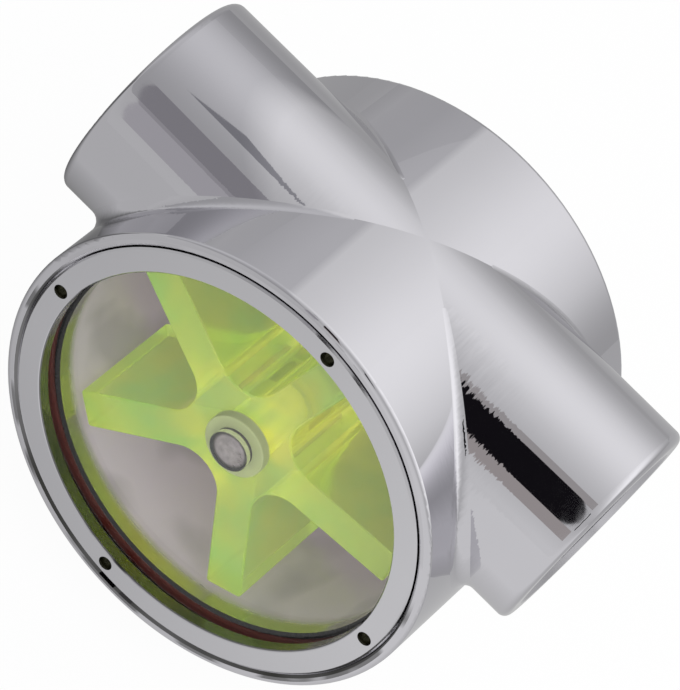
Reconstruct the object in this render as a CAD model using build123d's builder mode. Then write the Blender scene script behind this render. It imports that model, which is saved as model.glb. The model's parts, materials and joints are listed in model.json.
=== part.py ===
# Impeller flow indicator: a drum with a sight window, crossed by a threaded pipe.
# Millimetres. X runs along the pipe, the window faces -Y and +Z is up.
# The origin is the middle of the drum, on the axis that the impeller turns about.
import os
from build123d import *

# Drum and pipe
drum_radius = 35.0
drum_length = 49.0
rim_rounding = 0.8
rim_wall = 1.9
rim_lead_in = 0.5
pipe_length = 85.0
pipe_wall = 3.98
pipe_end_rounding = 1.3
crease_fillet = 1.8
crown_height = 1.0

# Ports and the passages that lead to the chamber
port_radius = 13.22
port_depth = 12.5
port_mouth_chamfer = 0.8
port_step = 3.66

# Chamber and the post that holds the axle
back_wall = 5.0
chamber_corner = 2.0
post_wall = 4.4
post_draft = 0.8
post_root_fillet = 2.0
post_edge = 0.4
axle_socket_depth = 10.0

# Window, its ring and its seal
ring_width = 3.75
ring_thickness = 2.0
ring_edge = 0.25
spanner_hole_radius = 1.1
spanner_hole_depth = 1.5
spanner_hole_count = 4
spanner_hole_turn = -6.1
thread_relief = 0.5
seat_step = 0.7
window_thickness = 5.0
window_edge = 0.3
seal_width = 2.1
seal_height = 1.9
seal_corner = 0.75
lip_width = 0.9

# Impeller
blade_count = 5
blade_thickness = 5.8
blade_length = 20.0
blade_turn = 6.0
blade_root_fillet = 5.2
blade_tip_corner = 0.5
blade_edge = 0.35

# Axle and bearings
axle_radius = 3.0
axle_dome = 0.35
axle_reach_in_window = 1.3
bearing_wall = 0.95
bearing_length = 7.0
bearing_edge = 0.2
flange_step = 0.85
flange_thickness = 1.5

# Clearances
ring_thread_clearance = 0.15
window_side_clearance = 0.3
seal_side_clearance = 0.2
blade_tip_clearance = 2.0
running_clearance = 0.05
press_clearance = 0.01
window_socket_clearance = 0.1
axle_end_clearance = 0.3
front_play = 0.5
rear_play = 0.5

# Radii about the impeller's axis, from the rim inwards
thread_bore_radius = drum_radius - rim_wall
ring_radius = thread_bore_radius - ring_thread_clearance
ring_opening_radius = ring_radius - ring_width
spanner_circle_radius = ring_radius - ring_width / 2
seat_radius = thread_bore_radius - seat_step
window_radius = seat_radius - window_side_clearance
seal_radius = seat_radius - seal_side_clearance - seal_width / 2
lip_radius = seal_radius - seal_width / 2 - seal_side_clearance
chamber_radius = lip_radius - lip_width
blade_reach = chamber_radius - blade_tip_clearance
post_radius = axle_radius + post_wall
bearing_bore_radius = axle_radius + running_clearance
bearing_radius = bearing_bore_radius + bearing_wall

# Places along the impeller's axis, from the window's face to the back
front_face = -drum_length / 2
window_front = front_face + ring_thickness
thread_floor = window_front + thread_relief
window_back = window_front + window_thickness
seal_floor = window_back + seal_height
axle_front = window_back - axle_reach_in_window
bearing_front = window_back + front_play
impeller_front = bearing_front + flange_thickness
impeller_back = impeller_front + blade_length
impeller_middle = (impeller_front + impeller_back) / 2
post_face = impeller_back + flange_thickness + rear_play
axle_back = post_face + axle_socket_depth
chamber_back = drum_length / 2 - back_wall

# The pipe and what is turned in it
pipe_radius = port_radius + pipe_wall
pipe_rise = drum_radius - pipe_radius
pipe_axis = Axis((0, 0, pipe_rise), (1, 0, 0))
pipe_end = pipe_length / 2
port_floor = pipe_end - port_depth
passage_radius = port_radius - port_step


def facing_front(y):
    """Plane across the impeller's axis at this y, looking out of the window."""
    return Plane.XZ.offset(-y)


def crossing(keep):
    """Drum and pipe with their tops flush, on one side of the level where the creases fade out."""
    with BuildPart() as blank:
        with BuildSketch(Plane.XZ):
            Circle(drum_radius)
        extrude(amount=drum_length / 2, both=True)
        with BuildSketch(Plane.YZ):
            with Locations((0, pipe_rise)):
                Circle(pipe_radius)
        extrude(amount=pipe_end, both=True)
        split(bisect_by=Plane.XY.offset(drum_radius - crown_height), keep=keep)
    return blank.part


# Housing: the casting, with the chamber bored from the front and a port turned at each end
with BuildPart() as housing:
    add(crossing(Keep.BOTTOM))
    creases = housing.edges().filter_by(lambda edge: edge.geom_type not in (GeomType.LINE, GeomType.CIRCLE))
    fillet(creases, crease_fillet)
    add(crossing(Keep.TOP))
    drum_ends = housing.faces().filter_by(Axis.Y).sort_by(Axis.Y)
    fillet(drum_ends[0].edges() + drum_ends[-1].edges(), rim_rounding)
    pipe_ends = housing.faces().filter_by(Axis.X).sort_by(Axis.X)
    fillet(pipe_ends[0].edges() + pipe_ends[-1].edges(), pipe_end_rounding)

    with BuildSketch(Plane.XY) as chamber_profile:
        with BuildLine():
            Polyline(
                (0, front_face),
                (thread_bore_radius + rim_lead_in, front_face),
                (thread_bore_radius, front_face + rim_lead_in),
                (thread_bore_radius, thread_floor),
                (seat_radius, thread_floor),
                (seat_radius, seal_floor),
                (lip_radius, seal_floor),
                (lip_radius, window_back),
                (chamber_radius, window_back),
                (chamber_radius, chamber_back),
                (0, chamber_back),
                close=True,
            )
        make_face()
        back_corner = chamber_profile.vertices().group_by(Axis.Y)[-1].sort_by(Axis.X)[-1]
        fillet(back_corner, chamber_corner)
    revolve(axis=Axis.Y, mode=Mode.SUBTRACT)

    with BuildSketch(Plane.XZ):
        with BuildLine():
            Polyline(
                (0, pipe_rise),
                (pipe_end, pipe_rise),
                (pipe_end, pipe_rise + port_radius + port_mouth_chamfer),
                (pipe_end - port_mouth_chamfer, pipe_rise + port_radius),
                (port_floor, pipe_rise + port_radius),
                (port_floor - port_step, pipe_rise + passage_radius),
                (0, pipe_rise + passage_radius),
                close=True,
            )
        make_face()
        mirror(about=Plane.YZ)
    revolve(axis=pipe_axis, mode=Mode.SUBTRACT)

    with BuildSketch(Plane.XY):
        with BuildLine():
            Polyline(
                (0, post_face),
                (post_radius - post_edge, post_face),
                (post_radius, post_face + post_edge),
                (post_radius + post_draft, chamber_back),
                (post_radius + post_draft, chamber_back + back_wall / 2),
                (0, chamber_back + back_wall / 2),
                close=True,
            )
        make_face()
    revolve(axis=Axis.Y)
    floor_circles = housing.faces().filter_by(Axis.Y).group_by(Axis.Y)[-2].edges().filter_by(GeomType.CIRCLE)
    fillet(floor_circles.sort_by(SortBy.RADIUS)[0], post_root_fillet)

    with BuildSketch(facing_front(post_face)):
        Circle(axle_radius + press_clearance)
    extrude(amount=-axle_socket_depth, mode=Mode.SUBTRACT)

# Retaining ring, flush with the rim, with holes for a pin spanner
with BuildPart() as window_retaining_ring:
    with BuildSketch(facing_front(window_front)):
        Circle(ring_radius)
        Circle(ring_opening_radius, mode=Mode.SUBTRACT)
    extrude(amount=ring_thickness)
    chamfer(window_retaining_ring.edges().group_by(Axis.Y)[0], ring_edge)
    with BuildSketch(facing_front(front_face)):
        with PolarLocations(spanner_circle_radius, spanner_hole_count, start_angle=spanner_hole_turn):
            Circle(spanner_hole_radius)
    extrude(amount=-spanner_hole_depth, mode=Mode.SUBTRACT)

# Window, with a blind socket in its back for the end of the axle
with BuildPart() as sight_window:
    with BuildSketch(facing_front(window_back)):
        Circle(window_radius)
    extrude(amount=window_thickness)
    chamfer(sight_window.edges().filter_by(GeomType.CIRCLE), window_edge)
    with BuildSketch(facing_front(window_back)):
        Circle(axle_radius + window_socket_clearance)
    extrude(amount=axle_reach_in_window + axle_end_clearance, mode=Mode.SUBTRACT)

# Seal, squeezed flat between the window and the floor of its rebate
with BuildPart() as window_seal:
    with BuildSketch(Plane.XY):
        with Locations((seal_radius, window_back + seal_height / 2)):
            RectangleRounded(seal_width, seal_height, seal_corner)
    revolve(axis=Axis.Y)

# Impeller: straight blades with a deep round between each two
with BuildPart() as impeller:
    with BuildSketch(facing_front(impeller_back)) as blades:
        with PolarLocations(0, blade_count, start_angle=blade_turn):
            Rectangle(blade_reach, blade_thickness, align=(Align.MIN, Align.CENTER))
        corners = blades.vertices().sort_by_distance((0, 0, 0))
        fillet(corners[:blade_count], blade_root_fillet)
        tips = blades.vertices().sort_by_distance((0, 0, 0))[-2 * blade_count:]
        fillet(tips, blade_tip_corner)
    extrude(amount=blade_length)
    impeller_ends = impeller.faces().filter_by(Axis.Y).sort_by(Axis.Y)
    fillet(impeller_ends[0].edges() + impeller_ends[-1].edges(), blade_edge)
    with BuildSketch(facing_front(impeller_back)):
        Circle(bearing_radius + press_clearance)
    extrude(amount=blade_length, mode=Mode.SUBTRACT)

# Bearings: one flanged sleeve pressed into each end of the impeller's bore
with BuildPart() as front_bearing:
    with BuildSketch(Plane.XY):
        with BuildLine():
            Polyline(
                (bearing_bore_radius, bearing_front),
                (bearing_radius + flange_step, bearing_front),
                (bearing_radius + flange_step, impeller_front),
                (bearing_radius, impeller_front),
                (bearing_radius, impeller_front + bearing_length - bearing_edge),
                (bearing_radius - bearing_edge, impeller_front + bearing_length),
                (bearing_bore_radius, impeller_front + bearing_length),
                close=True,
            )
        make_face()
    revolve(axis=Axis.Y)
    fillet(front_bearing.edges().group_by(Axis.Y)[0].sort_by(SortBy.RADIUS)[-1], bearing_edge)

with BuildPart() as rear_bearing:
    mirror(front_bearing.part, about=facing_front(impeller_middle))

# Axle: a pin pressed into the post, with a domed end in the window's socket
with BuildPart() as axle:
    with BuildSketch(facing_front(axle_back)):
        Circle(axle_radius)
    extrude(amount=axle_back - axle_front)
    fillet(axle.edges().group_by(Axis.Y)[0], axle_dome)

pieces = {
    "housing": housing,
    "window_retaining_ring": window_retaining_ring,
    "sight_window": sight_window,
    "window_seal": window_seal,
    "impeller": impeller,
    "front_bearing": front_bearing,
    "rear_bearing": rear_bearing,
    "axle": axle,
}
os.makedirs("parts", exist_ok=True)
for name, piece in pieces.items():
    piece.part.label = name
    export_step(piece.part, f"parts/{name}.step")
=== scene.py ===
import json
import math

import bmesh
import bpy
from mathutils import Matrix, Vector


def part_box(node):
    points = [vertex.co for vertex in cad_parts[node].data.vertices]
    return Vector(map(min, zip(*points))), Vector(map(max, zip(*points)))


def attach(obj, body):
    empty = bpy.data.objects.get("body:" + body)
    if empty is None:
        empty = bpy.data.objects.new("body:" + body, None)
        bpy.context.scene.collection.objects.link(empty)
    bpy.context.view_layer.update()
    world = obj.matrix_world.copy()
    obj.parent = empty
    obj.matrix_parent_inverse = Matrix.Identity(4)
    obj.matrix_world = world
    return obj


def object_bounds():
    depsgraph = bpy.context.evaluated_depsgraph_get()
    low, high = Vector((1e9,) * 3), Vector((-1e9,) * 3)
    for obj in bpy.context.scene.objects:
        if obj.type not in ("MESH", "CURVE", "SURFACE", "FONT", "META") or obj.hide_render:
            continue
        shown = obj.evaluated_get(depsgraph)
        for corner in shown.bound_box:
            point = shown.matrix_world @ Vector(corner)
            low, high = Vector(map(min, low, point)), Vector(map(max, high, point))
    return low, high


MM = 0.001

# Camera, as fitted to the photograph's outline
CAMERA_AZIMUTH = 8.35
CAMERA_ELEVATION = 46.627
CAMERA_ROLL = 38.55
CAMERA_DISTANCE = 0.6530
CAMERA_TARGET = Vector((-0.79, 4.13, 3.97)) * MM
CAMERA_LENS = 246.3
CAMERA_SENSOR = 36
CAMERA_CLIP_START = 0.01
CAMERA_CLIP_END = 20

# Pipe thread in the ports: 14 threads to the inch with a 55 degree flank
THREAD_PITCH = 1.814 * MM
THREAD_HEIGHT = 1.162 * MM
THREAD_CREST = 0.30 * MM
THREAD_SEAT = 0.04 * MM
THREAD_ROOT = 0.96 * THREAD_PITCH
THREAD_FREE_TURNS = 1.2
THREAD_FADE_TURNS = 0.5
THREAD_END_HEIGHT = 0.02
THREAD_STEPS_PER_TURN = 72

# Housing: plating, with fine polishing streaks on the pipe beside the drum
PLATING = (0.640, 0.632, 0.665)
POLISHED_ROUGHNESS = 0.022
THREAD_ROUGHNESS = 0.14
WAVE_TINT = 0.985
STREAK_REACH = 7.5 * MM
STREAK_TILT = 0.06
STREAK_STRETCH = (1, 0.10, 0.10)
STREAK_FRONT = -5 * MM

# Chamber: a turned band behind the window, and the cast wall after it
CAST_METAL = (0.84, 0.72, 0.86)
CAST_METALNESS = 0.35
CAST_ROUGHNESS = (0.38, 0.48)
BORED_ROUGHNESS = (0.14, 0.20)
SMUDGE_TINT = 0.55
TURNED_DEPTH = 2.4 * MM
PORT_MOUTH = 0.85 * MM

# Retaining ring and its blind holes, with painted shade in the holes, at the ring's inner edge and
# in the crack around it
TURNED_PLATING = (0.62, 0.615, 0.64)
TURNED_ROUGHNESS = 0.12
PAINTED_SHADE_METAL = (0.05, 0.05, 0.045)
HOLE_SHADE = (0.20, 0.20, 0.155)
RING_OPENING = 29.2 * MM
RING_EDGE_SHADE = 0.75
PIN_CIRCLE = 31.075 * MM
PIN_RADIUS = 1.1 * MM
CRACK_WIDTH = 0.62 * MM
BLOTCH_WIDTH = 1.15 * MM

# Window: the middle and width of the lip that it rests on, whose metal shows through it there
WINDOW_TINT = (0.97, 0.985, 0.975)
LIP_MIDDLE = 29.45 * MM
LIP_WIDTH = 0.9 * MM

# Impeller: plastic with a painted glow standing in for its fluorescence, more yellow at the hub
# than on the blades
HUB_RADIUS = 8 * MM
BLADE_PAINTED_GLOW = (0.17, 0.29, 0.01)
HUB_PAINTED_GLOW = (0.85, 0.76, 0.01)
IMPELLER_GREEN = (0.58, 0.93, 0.26)
IMPELLER_YELLOW = (0.87, 0.95, 0.20)

# Axle: ground steel, with painted shade near the edge of its end
AXLE_RADIUS = 3.0 * MM
AXLE_DARK = (0.34, 0.29, 0.30)
AXLE_LIGHT = (0.56, 0.50, 0.51)
AXLE_EDGE_SHADE = (0.09, 0.08, 0.075)
AXLE_RINGS = 40000.0

# The softbox overhead, in degrees from straight up. From behind to in front it is a bell with a
# steeper back. Its level grows from left to right, and its left and right edges are soft.
BOX_MIDDLE = -28
BOX_REACH_BEHIND = 25
BOX_REACH_BEFORE = 30
BOX_LEFT_LEVEL = 0.34
BOX_RIGHT_LEVEL = 0.74
BOX_RISE = (-30, 32)
BOX_LEFT_EDGE = (-104, -58)
BOX_RIGHT_EDGE = (54, 97)

# The walls that the metal shows
STUDIO_WALLS = 0.55
BACK_WALL = 0.45
FRONT_LEFT_LEVEL = 0.62
FRONT_RIGHT_LEVEL = 0.78

# Floor, well under the part, which hangs by its pipe. The metal shows three zones of it, each
# with a level on the left and on the right.
FLOOR_DROP = 12 * MM
FLOOR_RADIUS = 3.0
FLOOR_COLOUR = (0.84, 0.84, 0.85, 1)
FLOOR_WHITENESS = 0.95
FLOOR_BEFORE = (0.60, 0.81)
FLOOR_BENEATH = (0.16, 0.55)
FLOOR_BEHIND = (0.44, 0.52)
FLOOR_FANNING = 0.05

# Cards near the camera that the metal shows, as directions seen from the top of the pipe:
# their x at the card's distance in mm, and their angle from straight up towards the front
CARD_DISTANCE = 0.653
CARD_VIEW_ANGLE = 43.07
PIPE_TOP = Vector((0, 0, 17.8)) * MM
PIPE_RADIUS = 17.2 * MM
CARD_BLACK = (0.008, 0.007, 0.009)
SIDE_BLACK = (0.010, 0.010, 0.012)
RIM_GREY = (0.42, 0.40, 0.395)
FOOT_GREY = (0.42, 0.385, 0.375)
ARM_GREY = (0.37, 0.36, 0.38)
STAND_FOOT_GREY = (0.47, 0.46, 0.48)
STAND_HEAD_GREY = (0.33, 0.33, 0.35)

# Grey filters in front of the softbox, as corners in mm
SIDE_PANEL = ((-18, -112, 96), (-400, -112, 96), (-400, 94, 96), (-36, 94, 96))
SIDE_PANEL_GREY = (0.77, 0.77, 0.78)
BACK_PANEL = ((-36, 94, 96), (-400, 94, 96), (-400, 500, 96), (-73, 500, 96))
BACK_PANEL_GREY = (0.71, 0.71, 0.72)
BACK_PANEL_FAR_GREY = (0.92, 0.92, 0.925)
PANEL_SLANT = 0.09
PANEL_SLANT_START = 0.006

# The one lamp
LAMP_PLACE = (0.35, -0.55, 0.75)
LAMP_SIZE = 0.7
LAMP_ENERGY = 5.0

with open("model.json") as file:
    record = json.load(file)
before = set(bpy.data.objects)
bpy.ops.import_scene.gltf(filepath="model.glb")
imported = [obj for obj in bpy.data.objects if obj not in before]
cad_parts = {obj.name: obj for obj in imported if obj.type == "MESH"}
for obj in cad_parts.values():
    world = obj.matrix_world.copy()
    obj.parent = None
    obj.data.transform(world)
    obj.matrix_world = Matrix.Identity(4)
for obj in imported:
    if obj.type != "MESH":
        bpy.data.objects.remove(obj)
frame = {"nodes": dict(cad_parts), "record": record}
cad_low, cad_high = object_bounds()
nodes = frame["nodes"]
record = frame["record"]


def new_material(name):
    """An empty node material with its output, and the node tree."""
    material = bpy.data.materials.new(name)
    material.use_nodes = True
    tree = material.node_tree
    tree.nodes.clear()
    output = tree.nodes.new("ShaderNodeOutputMaterial")
    return material, tree, output


def feed(tree, entry, value):
    """Links a socket to an input, or sets the input to a number or vector."""
    if isinstance(value, bpy.types.NodeSocket):
        tree.links.new(value, entry)
    elif value is not None:
        entry.default_value = value


def math_node(tree, operation, first, second=None):
    """A maths node on sockets or numbers; gives its output socket."""
    node = tree.nodes.new("ShaderNodeMath")
    node.operation = operation
    feed(tree, node.inputs[0], first)
    feed(tree, node.inputs[1], second)
    return node.outputs[0]


def product(tree, *factors):
    total = factors[0]
    for factor in factors[1:]:
        total = math_node(tree, "MULTIPLY", total, factor)
    return total


def vector_node(tree, operation, first, second=None):
    """A vector maths node on sockets, vectors or a scale; gives its output socket."""
    node = tree.nodes.new("ShaderNodeVectorMath")
    node.operation = operation
    feed(tree, node.inputs[0], first)
    feed(tree, node.inputs["Scale" if operation == "SCALE" else 1], second)
    return node.outputs[0]


def noise(tree, coordinates, scale, detail=2.0, roughness=0.5):
    """A noise texture with this many features to the metre."""
    node = tree.nodes.new("ShaderNodeTexNoise")
    node.inputs["Scale"].default_value = scale
    node.inputs["Detail"].default_value = detail
    node.inputs["Roughness"].default_value = roughness
    tree.links.new(coordinates, node.inputs["Vector"])
    return node.outputs["Fac"]


def spread(tree, socket, low, high, from_low=0.0, from_high=1.0, smooth=False):
    """Maps a socket from one range onto another, held at its ends."""
    node = tree.nodes.new("ShaderNodeMapRange")
    node.interpolation_type = "SMOOTHSTEP" if smooth else "LINEAR"
    node.inputs["From Min"].default_value = from_low
    node.inputs["From Max"].default_value = from_high
    node.inputs["To Min"].default_value = low
    node.inputs["To Max"].default_value = high
    tree.links.new(socket, node.inputs["Value"])
    return node.outputs["Result"]


def mix_colours(tree, factor, first, second):
    """Blends two colours, each a socket or a plain colour."""
    node = tree.nodes.new("ShaderNodeMix")
    node.data_type = "RGBA"
    tree.links.new(factor, node.inputs["Factor"])
    for entry, colour in ((node.inputs[6], first), (node.inputs[7], second)):
        feed(tree, entry, colour if isinstance(colour, bpy.types.NodeSocket) else (*colour, 1))
    return node.outputs[2]


def mix_values(tree, factor, first, second):
    node = tree.nodes.new("ShaderNodeMix")
    node.data_type = "FLOAT"
    for entry, socket in zip((0, 2, 3), (factor, first, second)):
        tree.links.new(socket, node.inputs[entry])
    return node.outputs[0]


def mix_shaders(tree, factor, first, second):
    node = tree.nodes.new("ShaderNodeMixShader")
    for entry, socket in zip(node.inputs, (factor, first, second)):
        tree.links.new(socket, entry)
    return node.outputs[0]


def bump(tree, height, strength, distance):
    node = tree.nodes.new("ShaderNodeBump")
    node.inputs["Strength"].default_value = strength
    node.inputs["Distance"].default_value = distance
    tree.links.new(height, node.inputs["Height"])
    return node.outputs["Normal"]


def principled(tree, output, **values):
    node = tree.nodes.new("ShaderNodeBsdfPrincipled")
    for key, value in values.items():
        node.inputs[key.replace("_", " ")].default_value = value
    tree.links.new(node.outputs[0], output.inputs["Surface"])
    return node


def ray_is(tree, *kinds):
    """One for a ray of either kind, else zero."""
    rays = tree.nodes.new("ShaderNodeLightPath")
    return math_node(tree, "MAXIMUM", *(rays.outputs[f"Is {kind} Ray"] for kind in kinds))


def open_to_lamps(tree, output, shader, tint):
    """Lets lamps and soft light through a clear piece, and leaves what the camera sees alone."""
    clear = tree.nodes.new("ShaderNodeBsdfTransparent")
    clear.inputs["Color"].default_value = (*tint, 1)
    lit = ray_is(tree, "Shadow", "Diffuse")
    tree.links.new(mix_shaders(tree, lit, shader.outputs[0], clear.outputs[0]),
                   output.inputs["Surface"])


def place(tree):
    """The place in the shared frame at rest, as each object sits at the origin."""
    return tree.nodes.new("ShaderNodeTexCoord").outputs["Object"]


def axes(tree, where):
    parts = tree.nodes.new("ShaderNodeSeparateXYZ")
    tree.links.new(where, parts.inputs[0])
    return parts.outputs


def length_of(tree, first, second):
    """The distance from an axis, given the two coordinates across it."""
    return math_node(tree, "SQRT", math_node(tree, "ADD", product(tree, first, first),
                                             product(tree, second, second)))


def is_near(tree, socket, middle, reach):
    """One where the socket is within reach of the middle, else zero."""
    off = math_node(tree, "ABSOLUTE", math_node(tree, "SUBTRACT", socket, middle))
    return math_node(tree, "LESS_THAN", off, reach)


def shade_ring(tree, where, tint):
    """Painted shade in the blind holes of the retaining ring, and a painted dark line at its inner
    edge, where it meets the window.
    """
    x, y, z = axes(tree, where)
    low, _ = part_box("window_retaining_ring")
    radius = length_of(tree, x, z)
    inner_edge = math_node(tree, "LESS_THAN", radius, RING_OPENING + 0.14 * MM)
    tint = mix_colours(tree, product(tree, inner_edge, RING_EDGE_SHADE), tint, PAINTED_SHADE_METAL)
    below_face = math_node(tree, "GREATER_THAN", y, low.y + 0.35 * MM)
    in_hole = is_near(tree, radius, PIN_CIRCLE, PIN_RADIUS + 0.1 * MM)
    return mix_colours(tree, product(tree, below_face, in_hole), tint, HOLE_SHADE)


def inside_masks(tree, where):
    """Four masks: all that was bored, the cast wall, all that is dull, and painted shade in the
    crack round the ring, with dark blotches beside it, fading towards the top.
    """
    x, y, z = axes(tree, where)
    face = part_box("housing")[1].y
    window_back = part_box("sight_window")[1].y
    ring_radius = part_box("window_retaining_ring")[1].x
    port = record["mounts"][0]
    radius = length_of(tree, x, z)

    in_drum = math_node(tree, "LESS_THAN", radius, ring_radius + 0.1 * MM)
    off_faces = math_node(tree, "LESS_THAN", math_node(tree, "ABSOLUTE", y), face - 0.6 * MM)
    chamber = product(tree, in_drum, off_faces)
    up = math_node(tree, "SUBTRACT", z, port["pos_m"][2])
    in_port = math_node(tree, "LESS_THAN", length_of(tree, y, up),
                        port["dims"]["r_mm"] * MM + PORT_MOUTH)
    cast = product(tree, chamber, spread(tree, y, 0, 1, window_back + TURNED_DEPTH * 0.7,
                                         window_back + TURNED_DEPTH * 1.4))

    # Painted shade in the crack round the ring, with dark blotches beside it; strong low down and
    # faint towards the top
    near_face = math_node(tree, "LESS_THAN", y, 0.4 * MM - face)
    at_ring = math_node(tree, "LESS_THAN", radius, ring_radius + CRACK_WIDTH)
    by_ring = math_node(tree, "LESS_THAN", radius, ring_radius + BLOTCH_WIDTH)
    blotches = spread(tree, noise(tree, where, 110, 1.0), 0.0, 0.75, 0.50, 0.58)
    crack_shade_and_blotches = math_node(tree, "MAXIMUM", at_ring, product(tree, by_ring, blotches))
    crack = product(tree, near_face, crack_shade_and_blotches, spread(tree, z, 1.0, 0.1, 5 * MM, 10 * MM))
    lead_in = product(tree, near_face, at_ring, spread(tree, z, 0, 1, 2 * MM, 8 * MM))
    return (math_node(tree, "MAXIMUM", chamber, in_port), cast,
            math_node(tree, "MAXIMUM", cast, lead_in), crack)


def polishing_streaks(tree, where):
    """A normal that wavers round the pipe in fine streaks, where the wheel met the drum."""
    x, y, z = axes(tree, where)
    drum_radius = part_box("housing")[1].z
    off_drum = math_node(tree, "SUBTRACT", length_of(tree, x, z), drum_radius)
    near = product(tree, spread(tree, off_drum, 1, 0, 0.5 * MM, STREAK_REACH),
                   math_node(tree, "GREATER_THAN", off_drum, 0.1 * MM))
    front = product(tree, math_node(tree, "LESS_THAN", y, STREAK_FRONT),
                    spread(tree, x, 0.12, 1, -0.02, 0.02))
    stretched = vector_node(tree, "MULTIPLY", where, STREAK_STRETCH)
    streak = spread(tree, noise(tree, stretched, 2600, 3.0, 0.65), -1, 1, 0.3, 0.7)
    amount = product(tree, near, front, streak, STREAK_TILT)
    normal = tree.nodes.new("ShaderNodeNewGeometry").outputs["Normal"]
    around = vector_node(tree, "CROSS_PRODUCT", (1, 0, 0), normal)
    tilted = vector_node(tree, "ADD", normal, vector_node(tree, "SCALE", around, amount))
    return vector_node(tree, "NORMALIZE", tilted)


def plated_material(name, colour, roughness, inner_colour=None, pin_holes=False):
    """Plated metal: faint waves in the polish, finer haze, and a duller finish where it was
    bored or cast."""
    material, tree, output = new_material(name)
    where = place(tree)
    shader = principled(tree, output, Metallic=1.0)
    waves = noise(tree, where, 55, 2.0)
    grain = noise(tree, where, 900, 4.0, 0.6)
    haze = spread(tree, grain, roughness * 0.7, roughness * 1.5, 0.3, 0.7)
    tint = mix_colours(tree, spread(tree, waves, 0, 1, 0.35, 0.65), colour,
                       [c * WAVE_TINT for c in colour])
    relief = bump(tree, math_node(tree, "ADD", waves, product(tree, grain, 0.02)), 0.10, 0.05 * MM)
    if pin_holes:
        tint = shade_ring(tree, where, tint)
    if inner_colour:
        inside, cast, dull, crack = inside_masks(tree, where)
        cloud = noise(tree, where, 400, 3.0)
        haze = mix_values(tree, inside, haze, spread(tree, cloud, *BORED_ROUGHNESS, 0.3, 0.7))
        haze = mix_values(tree, dull, haze, spread(tree, cloud, *CAST_ROUGHNESS, 0.3, 0.7))
        smudge = spread(tree, noise(tree, where, 75, 2.0, 0.4), 0.0, 0.55, 0.50, 0.62)
        dusty = mix_colours(tree, smudge, inner_colour, [c * SMUDGE_TINT for c in inner_colour])
        tint = mix_colours(tree, cast, tint, dusty)
        # Painted shade in the crack round the ring, with dark blotches beside it
        shaded_crack = product(tree, crack, spread(tree, waves, 0.75, 1.0, 0.35, 0.6))
        tint = mix_colours(tree, shaded_crack, tint, PAINTED_SHADE_METAL)
        tree.links.new(spread(tree, dull, 1.0, CAST_METALNESS), shader.inputs["Metallic"])
        tree.links.new(polishing_streaks(tree, where), relief.node.inputs["Normal"])
    tree.links.new(tint, shader.inputs["Base Color"])
    tree.links.new(haze, shader.inputs["Roughness"])
    tree.links.new(relief, shader.inputs["Normal"])
    return material


def window_material():
    """Clear plastic with a ground side, and the housing's metal where it rests on the lip."""
    material, tree, output = new_material("clear_window")
    shader = principled(tree, output, Transmission_Weight=1.0, IOR=1.5, Specular_IOR_Level=0.15)
    where = place(tree)
    x, y, z = axes(tree, where)
    _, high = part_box("sight_window")
    radius = length_of(tree, x, z)
    side = math_node(tree, "GREATER_THAN", radius, high.x - 0.15 * MM)
    at_back = math_node(tree, "GREATER_THAN", y, high.y - 0.05 * MM)
    seated = product(tree, at_back, is_near(tree, radius, LIP_MIDDLE, LIP_WIDTH / 2))
    polish = spread(tree, noise(tree, where, 300, 3.0), 0.0, 0.02, 0.4, 0.8)
    ground = spread(tree, noise(tree, where, 900, 3.0), 0.55, 0.7, 0.3, 0.7)
    tree.links.new(mix_values(tree, math_node(tree, "MAXIMUM", side, seated), polish, ground),
                   shader.inputs["Roughness"])
    tree.links.new(seated, shader.inputs["Metallic"])
    tree.links.new(mix_colours(tree, seated, WINDOW_TINT, PLATING), shader.inputs["Base Color"])
    open_to_lamps(tree, output, shader, (0.95, 0.97, 0.96))
    return material


def impeller_material():
    """Translucent plastic, clouded between green and yellow, with a painted glow for its
    fluorescence that is more yellow at the hub.
    """
    material, tree, output = new_material("impeller_plastic")
    where = place(tree)
    shader = principled(tree, output, Transmission_Weight=0.80, IOR=1.49, Specular_IOR_Level=0.3,
                        Emission_Strength=0.2)
    x, _, z = axes(tree, where)
    by_hub = spread(tree, length_of(tree, x, z), 1, 0, HUB_RADIUS - 2 * MM, HUB_RADIUS + 5 * MM)
    hub = product(tree, by_hub, spread(tree, noise(tree, where, 120, 1.0), 0.35, 1.0, 0.40, 0.55))
    cloud = noise(tree, where, 110, 2.0)
    mottled = spread(tree, cloud, 0, 1, 0.36, 0.56)
    haze = spread(tree, noise(tree, where, 500, 3.0), 0.11, 0.17, 0.3, 0.7)
    # The painted glow: an emission standing in for the plastic's fluorescence, more yellow at the
    # hub than on the blades
    tree.links.new(mix_colours(tree, hub, BLADE_PAINTED_GLOW, HUB_PAINTED_GLOW), shader.inputs["Emission Color"])
    tree.links.new(mix_colours(tree, mottled, IMPELLER_GREEN, IMPELLER_YELLOW),
                   shader.inputs["Base Color"])
    tree.links.new(haze, shader.inputs["Roughness"])
    tree.links.new(bump(tree, cloud, 0.1, 0.05 * MM), shader.inputs["Normal"])
    open_to_lamps(tree, output, shader, (0.88, 0.90, 0.78))
    return material


def grained_material(name, scale, dark, light, roughness, relief, **values):
    """An even finish with a fine grain in its colour, roughness and surface."""
    material, tree, output = new_material(name)
    shader = principled(tree, output, **values)
    grain = noise(tree, place(tree), scale, 3.0)
    tree.links.new(mix_colours(tree, grain, dark, light), shader.inputs["Base Color"])
    tree.links.new(spread(tree, grain, *roughness), shader.inputs["Roughness"])
    tree.links.new(bump(tree, grain, relief, 0.05 * MM), shader.inputs["Normal"])
    return material


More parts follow.
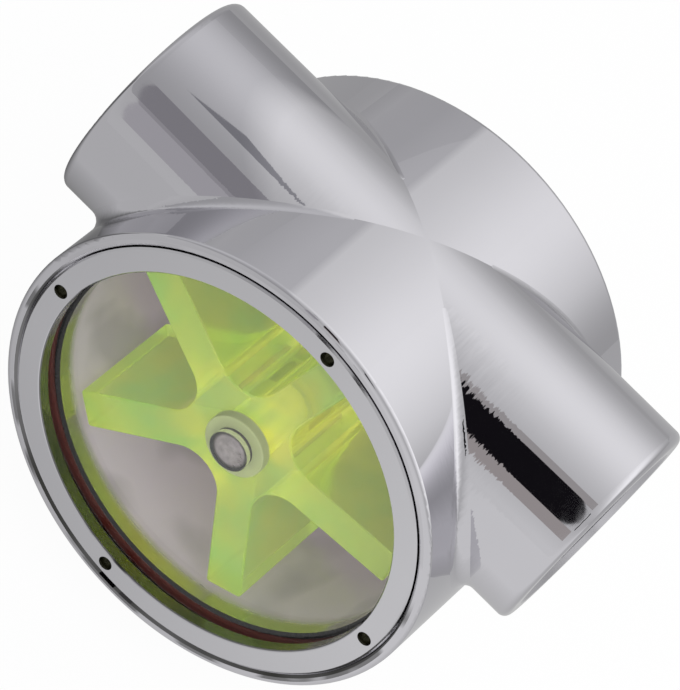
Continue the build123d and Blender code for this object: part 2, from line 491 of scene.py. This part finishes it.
def axle_material():
    """Ground steel, with the fine rings that turning leaves on its end, and painted shade near the
    edge of that end.
    """
    material, tree, output = new_material("axle_steel")
    where = place(tree)
    shader = principled(tree, output, Metallic=1.0)
    x, _, z = axes(tree, where)
    radius = length_of(tree, x, z)
    rings = math_node(tree, "SINE", product(tree, radius, AXLE_RINGS))
    cloud = noise(tree, where, 700, 3.0)
    face = mix_colours(tree, spread(tree, cloud, 0, 1, 0.35, 0.65), AXLE_DARK, AXLE_LIGHT)
    # A painted dark ring near the edge of the end, standing in for its shade
    edge = spread(tree, radius, 0, 1, AXLE_RADIUS - 0.75 * MM, AXLE_RADIUS - 0.35 * MM)
    height = math_node(tree, "ADD", product(tree, rings, 0.2), cloud)
    tree.links.new(mix_colours(tree, edge, face, AXLE_EDGE_SHADE), shader.inputs["Base Color"])
    tree.links.new(spread(tree, cloud, 0.22, 0.36), shader.inputs["Roughness"])
    tree.links.new(bump(tree, height, 0.3, 0.02 * MM), shader.inputs["Normal"])
    return material


def dress(node_name, material):
    for slot in nodes[node_name].material_slots:
        slot.material = material


def new_object(name, mesh, material=None):
    """An object made of a finished bmesh."""
    data = bpy.data.meshes.new(name)
    mesh.to_mesh(data)
    mesh.free()
    piece = bpy.data.objects.new(name, data)
    bpy.context.collection.objects.link(piece)
    if material:
        data.materials.append(material)
    return piece


def thread_profile(height):
    """The ridge's section at one place, as (depth from the wall, place along the axis)."""
    half_root = THREAD_ROOT / 2
    half_crest = THREAD_CREST / 2 + (half_root - THREAD_CREST / 2) * (1 - height / THREAD_HEIGHT)
    half = ((-THREAD_SEAT, half_root), (0.12 * height, 0.86 * half_root),
            (0.94 * height, half_crest), (height, 0.45 * half_crest))
    return [(depth, -along) for depth, along in half] + list(reversed(half))


def thread_piece(name, mount, material):
    """The helical thread of one port, as a ridge wound on the wall of its bore."""
    wall = mount["dims"]["r_mm"] * MM
    length = mount["dims"]["length_mm"] * MM
    axis = Vector(mount["axis"])
    side = Vector((0, 1, 0))
    up = axis.cross(side)
    start = Vector(mount["pos_m"]) - axis * (length - THREAD_FREE_TURNS * THREAD_PITCH) / 2
    steps = int((length / THREAD_PITCH - THREAD_FREE_TURNS) * THREAD_STEPS_PER_TURN)
    mesh = bmesh.new()
    rows = []
    for step in range(steps + 1):
        turns = step / THREAD_STEPS_PER_TURN
        angle = 2 * math.pi * turns
        outward = side * math.cos(angle) + up * math.sin(angle)
        from_end = min(step, steps - step) / THREAD_STEPS_PER_TURN
        fade = min(1.0, THREAD_END_HEIGHT + from_end / THREAD_FADE_TURNS)
        rows.append([mesh.verts.new(start + axis * (THREAD_PITCH * turns + along)
                                    + outward * (wall - depth))
                     for depth, along in thread_profile(THREAD_HEIGHT * fade)])
    count = len(rows[0])
    for low, high in zip(rows, rows[1:]):
        for index in range(count):
            after = (index + 1) % count
            mesh.faces.new((low[index], low[after], high[after], high[index]))
    mesh.faces.new(list(reversed(rows[0])))
    mesh.faces.new(rows[-1])
    bmesh.ops.recalc_face_normals(mesh, faces=mesh.faces)
    piece = new_object(name, mesh, material)
    for face in piece.data.polygons:
        face.use_smooth = True
    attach(piece, "housing_body")


def look_from(target, azimuth, elevation, roll, distance):
    """The camera's place and turn for a view of the target, with the angles in degrees."""
    azimuth, elevation, roll = (math.radians(a) for a in (azimuth, elevation, roll))
    back = Vector((math.sin(azimuth) * math.cos(elevation),
                   -math.cos(azimuth) * math.cos(elevation), math.sin(elevation)))
    level = Vector((math.cos(azimuth), math.sin(azimuth), 0))
    rising = back.cross(level)
    right = level * math.cos(roll) + rising * math.sin(roll)
    up = rising * math.cos(roll) - level * math.sin(roll)
    turn = Matrix((right, up, back)).transposed().to_4x4()
    return Matrix.Translation(target + back * distance) @ turn


def make_camera():
    camera = bpy.data.objects.new("camera", bpy.data.cameras.new("camera"))
    bpy.context.collection.objects.link(camera)
    camera.data.sensor_width = CAMERA_SENSOR
    camera.data.lens = CAMERA_LENS
    camera.data.clip_start = CAMERA_CLIP_START
    camera.data.clip_end = CAMERA_CLIP_END
    camera.matrix_world = look_from(CAMERA_TARGET, CAMERA_AZIMUTH, CAMERA_ELEVATION,
                                    CAMERA_ROLL, CAMERA_DISTANCE)
    bpy.context.scene.camera = camera


def softbox(tree, across, along):
    """The softbox's level in a direction, from its two angles."""
    off = math_node(tree, "SUBTRACT", along, BOX_MIDDLE)
    reach = spread(tree, math_node(tree, "LESS_THAN", off, 0), BOX_REACH_BEFORE, BOX_REACH_BEHIND)
    ratio = math_node(tree, "DIVIDE", off, reach)
    bell = math_node(tree, "EXPONENT", product(tree, ratio, ratio, -0.5))
    rise = spread(tree, across, BOX_LEFT_LEVEL, BOX_RIGHT_LEVEL, *BOX_RISE, smooth=True)
    left_edge = spread(tree, across, 0, 1, *BOX_LEFT_EDGE, smooth=True)
    right_edge = spread(tree, across, 1, 0, *BOX_RIGHT_EDGE, smooth=True)
    return product(tree, bell, rise, left_edge, right_edge)


def background(tree, strength):
    node = tree.nodes.new("ShaderNodeBackground")
    node.inputs["Color"].default_value = (1, 1, 1, 1)
    feed(tree, node.inputs["Strength"], strength)
    return node.outputs[0]


def make_world():
    """A pale studio: white to the camera and through glass, and in the metal grey walls and a
    softbox overhead."""
    world = bpy.data.worlds.new("studio")
    bpy.context.scene.world = world
    world.use_nodes = True
    tree = world.node_tree
    tree.nodes.clear()
    output = tree.nodes.new("ShaderNodeOutputWorld")
    x, y, z = axes(tree, tree.nodes.new("ShaderNodeTexCoord").outputs["Generated"])
    across = math_node(tree, "DEGREES", math_node(tree, "ARCTAN2", x, z))
    along = math_node(tree, "DEGREES", math_node(tree, "ARCTAN2", product(tree, y, -1.0), z))
    front_level = spread(tree, x, FRONT_LEFT_LEVEL, FRONT_RIGHT_LEVEL, -0.15, -0.04)
    sides = spread(tree, along, BACK_WALL, STUDIO_WALLS, -85, -50)
    walls = mix_values(tree, spread(tree, along, 0, 1, 45, 85), sides, front_level)
    studio = background(tree, math_node(tree, "ADD", walls, softbox(tree, across, along)))
    seen = ray_is(tree, "Camera", "Transmission")
    tree.links.new(mix_shaders(tree, seen, studio, background(tree, 1.0)),
                   output.inputs["Surface"])


def make_floor():
    """A pale floor that keeps the object's shadow, with its own levels in the metal."""
    material, tree, output = new_material("pale_floor")
    mesh = bmesh.new()
    bmesh.ops.create_circle(mesh, cap_ends=True, segments=96, radius=FLOOR_RADIUS)
    floor = new_object("floor", mesh, material)
    floor.location.z = cad_low.z - FLOOR_DROP
    shader = principled(tree, output, Base_Color=FLOOR_COLOUR, Roughness=0.7,
                        Specular_IOR_Level=0.1)
    white = tree.nodes.new("ShaderNodeEmission")
    whitened = product(tree, ray_is(tree, "Camera", "Transmission"), FLOOR_WHITENESS)
    plain = mix_shaders(tree, whitened, shader.outputs[0], white.outputs[0])

    x, y, _ = axes(tree, place(tree))
    fanned = math_node(tree, "SUBTRACT", x, product(tree, y, FLOOR_FANNING))
    before = spread(tree, fanned, *FLOOR_BEFORE, -0.045, 0.03)
    beneath = spread(tree, x, *FLOOR_BENEATH, -0.08, 0.02)
    behind = spread(tree, x, *FLOOR_BEHIND, -0.10, 0.05)
    near = mix_values(tree, spread(tree, y, 0, 1, -0.06, 0.01), before, beneath)
    level = mix_values(tree, spread(tree, y, 0, 1, 0.04, 0.10), near, behind)
    mirrored = tree.nodes.new("ShaderNodeEmission")
    tree.links.new(level, mirrored.inputs["Strength"])
    glossy = tree.nodes.new("ShaderNodeLightPath").outputs["Is Glossy Ray"]
    tree.links.new(mix_shaders(tree, glossy, plain, mirrored.outputs[0]),
                   output.inputs["Surface"])


def card(name, corners, shader_kind, colour):
    """A flat card that only polished metal shows; gives its shader and node tree."""
    material, tree, output = new_material(name)
    mesh = bmesh.new()
    mesh.faces.new([mesh.verts.new(corner) for corner in corners])
    piece = new_object(name, mesh, material)
    for flag in ("visible_camera", "visible_diffuse", "visible_shadow", "visible_transmission"):
        setattr(piece, flag, False)
    shader = tree.nodes.new(shader_kind)
    shader.inputs["Color"].default_value = (*colour, 1)
    tree.links.new(shader.outputs[0], output.inputs["Surface"])
    return shader, tree


def card_point(x, angle):
    """A point at the card's distance from the place on the pipe that shows this direction."""
    seen_at = math.radians((angle + CARD_VIEW_ANGLE) / 2)
    angle = math.radians(angle)
    return Vector((x * MM, -PIPE_RADIUS * math.sin(seen_at) - CARD_DISTANCE * math.sin(angle),
                   PIPE_TOP.z + PIPE_RADIUS * math.cos(seen_at) + CARD_DISTANCE * math.cos(angle)))


def camera_card(name, outline, colour, nearer):
    """A glowing card beside the camera, from outline points (x, angle)."""
    corners = [card_point(x, angle) * (1 - nearer) for x, angle in outline]
    card(name, corners, "ShaderNodeEmission", colour)


def filter_card(name, corners, colour, far_colour):
    """A grey filter with a soft slanting edge on the right, and another grey far to the left."""
    shader, tree = card(name, [Vector(corner) * MM for corner in corners],
                        "ShaderNodeBsdfTransparent", colour)
    x, y, _ = axes(tree, place(tree))
    slant = product(tree, math_node(tree, "ADD", y, PANEL_SLANT_START), PANEL_SLANT)
    edge = spread(tree, math_node(tree, "ADD", x, slant), 0, 1, -0.038, -0.031)
    far_off = spread(tree, x, 1, 0, -0.21, -0.09)
    near_colour = mix_colours(tree, edge, colour, (1, 1, 1))
    tree.links.new(mix_colours(tree, far_off, near_colour, far_colour), shader.inputs["Color"])


def strip(left, right, low, high):
    return ((left, low), (right, low), (right, high), (left, high))


def make_lamp():
    light = bpy.data.lights.new("key_lamp", "AREA")
    light.shape = "DISK"
    light.size = LAMP_SIZE
    light.energy = LAMP_ENERGY
    lamp = bpy.data.objects.new("key_lamp", light)
    bpy.context.collection.objects.link(lamp)
    lamp.location = LAMP_PLACE
    lamp.rotation_euler = (-Vector(LAMP_PLACE)).to_track_quat("-Z", "Y").to_euler()
    lamp.visible_glossy = False
    lamp.visible_transmission = False


# The object: a finish for each CAD node, and the ridges of the port threads
bearing_finish = grained_material("bearing_plastic", 800, (0.66, 0.71, 0.32), (0.73, 0.78, 0.38),
                                  (0.3, 0.45), 0.15, Transmission_Weight=0.35, IOR=1.45)
dress("housing", plated_material("plated_housing", PLATING, POLISHED_ROUGHNESS, CAST_METAL))
dress("window_retaining_ring", plated_material("plated_ring", TURNED_PLATING, TURNED_ROUGHNESS,
                                               pin_holes=True))
dress("sight_window", window_material())
dress("window_seal", grained_material("seal_rubber", 1500, (0.085, 0.014, 0.010),
                                      (0.115, 0.020, 0.014), (0.35, 0.55), 0.2,
                                      Specular_IOR_Level=0.25))
dress("impeller", impeller_material())
dress("front_bearing", bearing_finish)
dress("rear_bearing", bearing_finish)
dress("axle", axle_material())
thread_finish = plated_material("plated_thread", PLATING, THREAD_ROUGHNESS)
for mount in record["mounts"]:
    if mount["kind"] == "threaded_hole":
        thread_piece(mount["name"].replace("port", "thread"), mount, thread_finish)

# The studio
make_camera()
make_world()
make_floor()
rounded_end = [(13.5 + 4 * math.cos(a), 45.9 + 13.9 * math.sin(a)) for a in
               (math.radians(step) for step in range(-90, 91, 15))]
camera_card("camera_front", [(-60, 32.0), *rounded_end, (-60, 59.8)], CARD_BLACK, 0.02)
camera_card("camera_rim", strip(-62, 19, 25.5, 33.0), RIM_GREY, 0.01)
camera_card("camera_foot", strip(-62, 19, 59.5, 71.5), FOOT_GREY, 0.01)
camera_card("camera_side", strip(150, 230, 36.0, 57.0), SIDE_BLACK, 0.01)
camera_card("stand_arm", strip(-150, -90, 36.0, 59.0), ARM_GREY, 0.02)
camera_card("stand_foot", strip(-150, -95, 58.5, 79.0), STAND_FOOT_GREY, 0.01)
camera_card("stand_head", ((-142, 18.8), (-91, 18.8), (-122, 10.0)), STAND_HEAD_GREY, 0.02)
filter_card("side_panel", SIDE_PANEL, SIDE_PANEL_GREY, SIDE_PANEL_GREY)
filter_card("back_panel", BACK_PANEL, BACK_PANEL_GREY, BACK_PANEL_FAR_GREY)
make_lamp()

scene = bpy.context.scene
scene.view_settings.view_transform = "Standard"
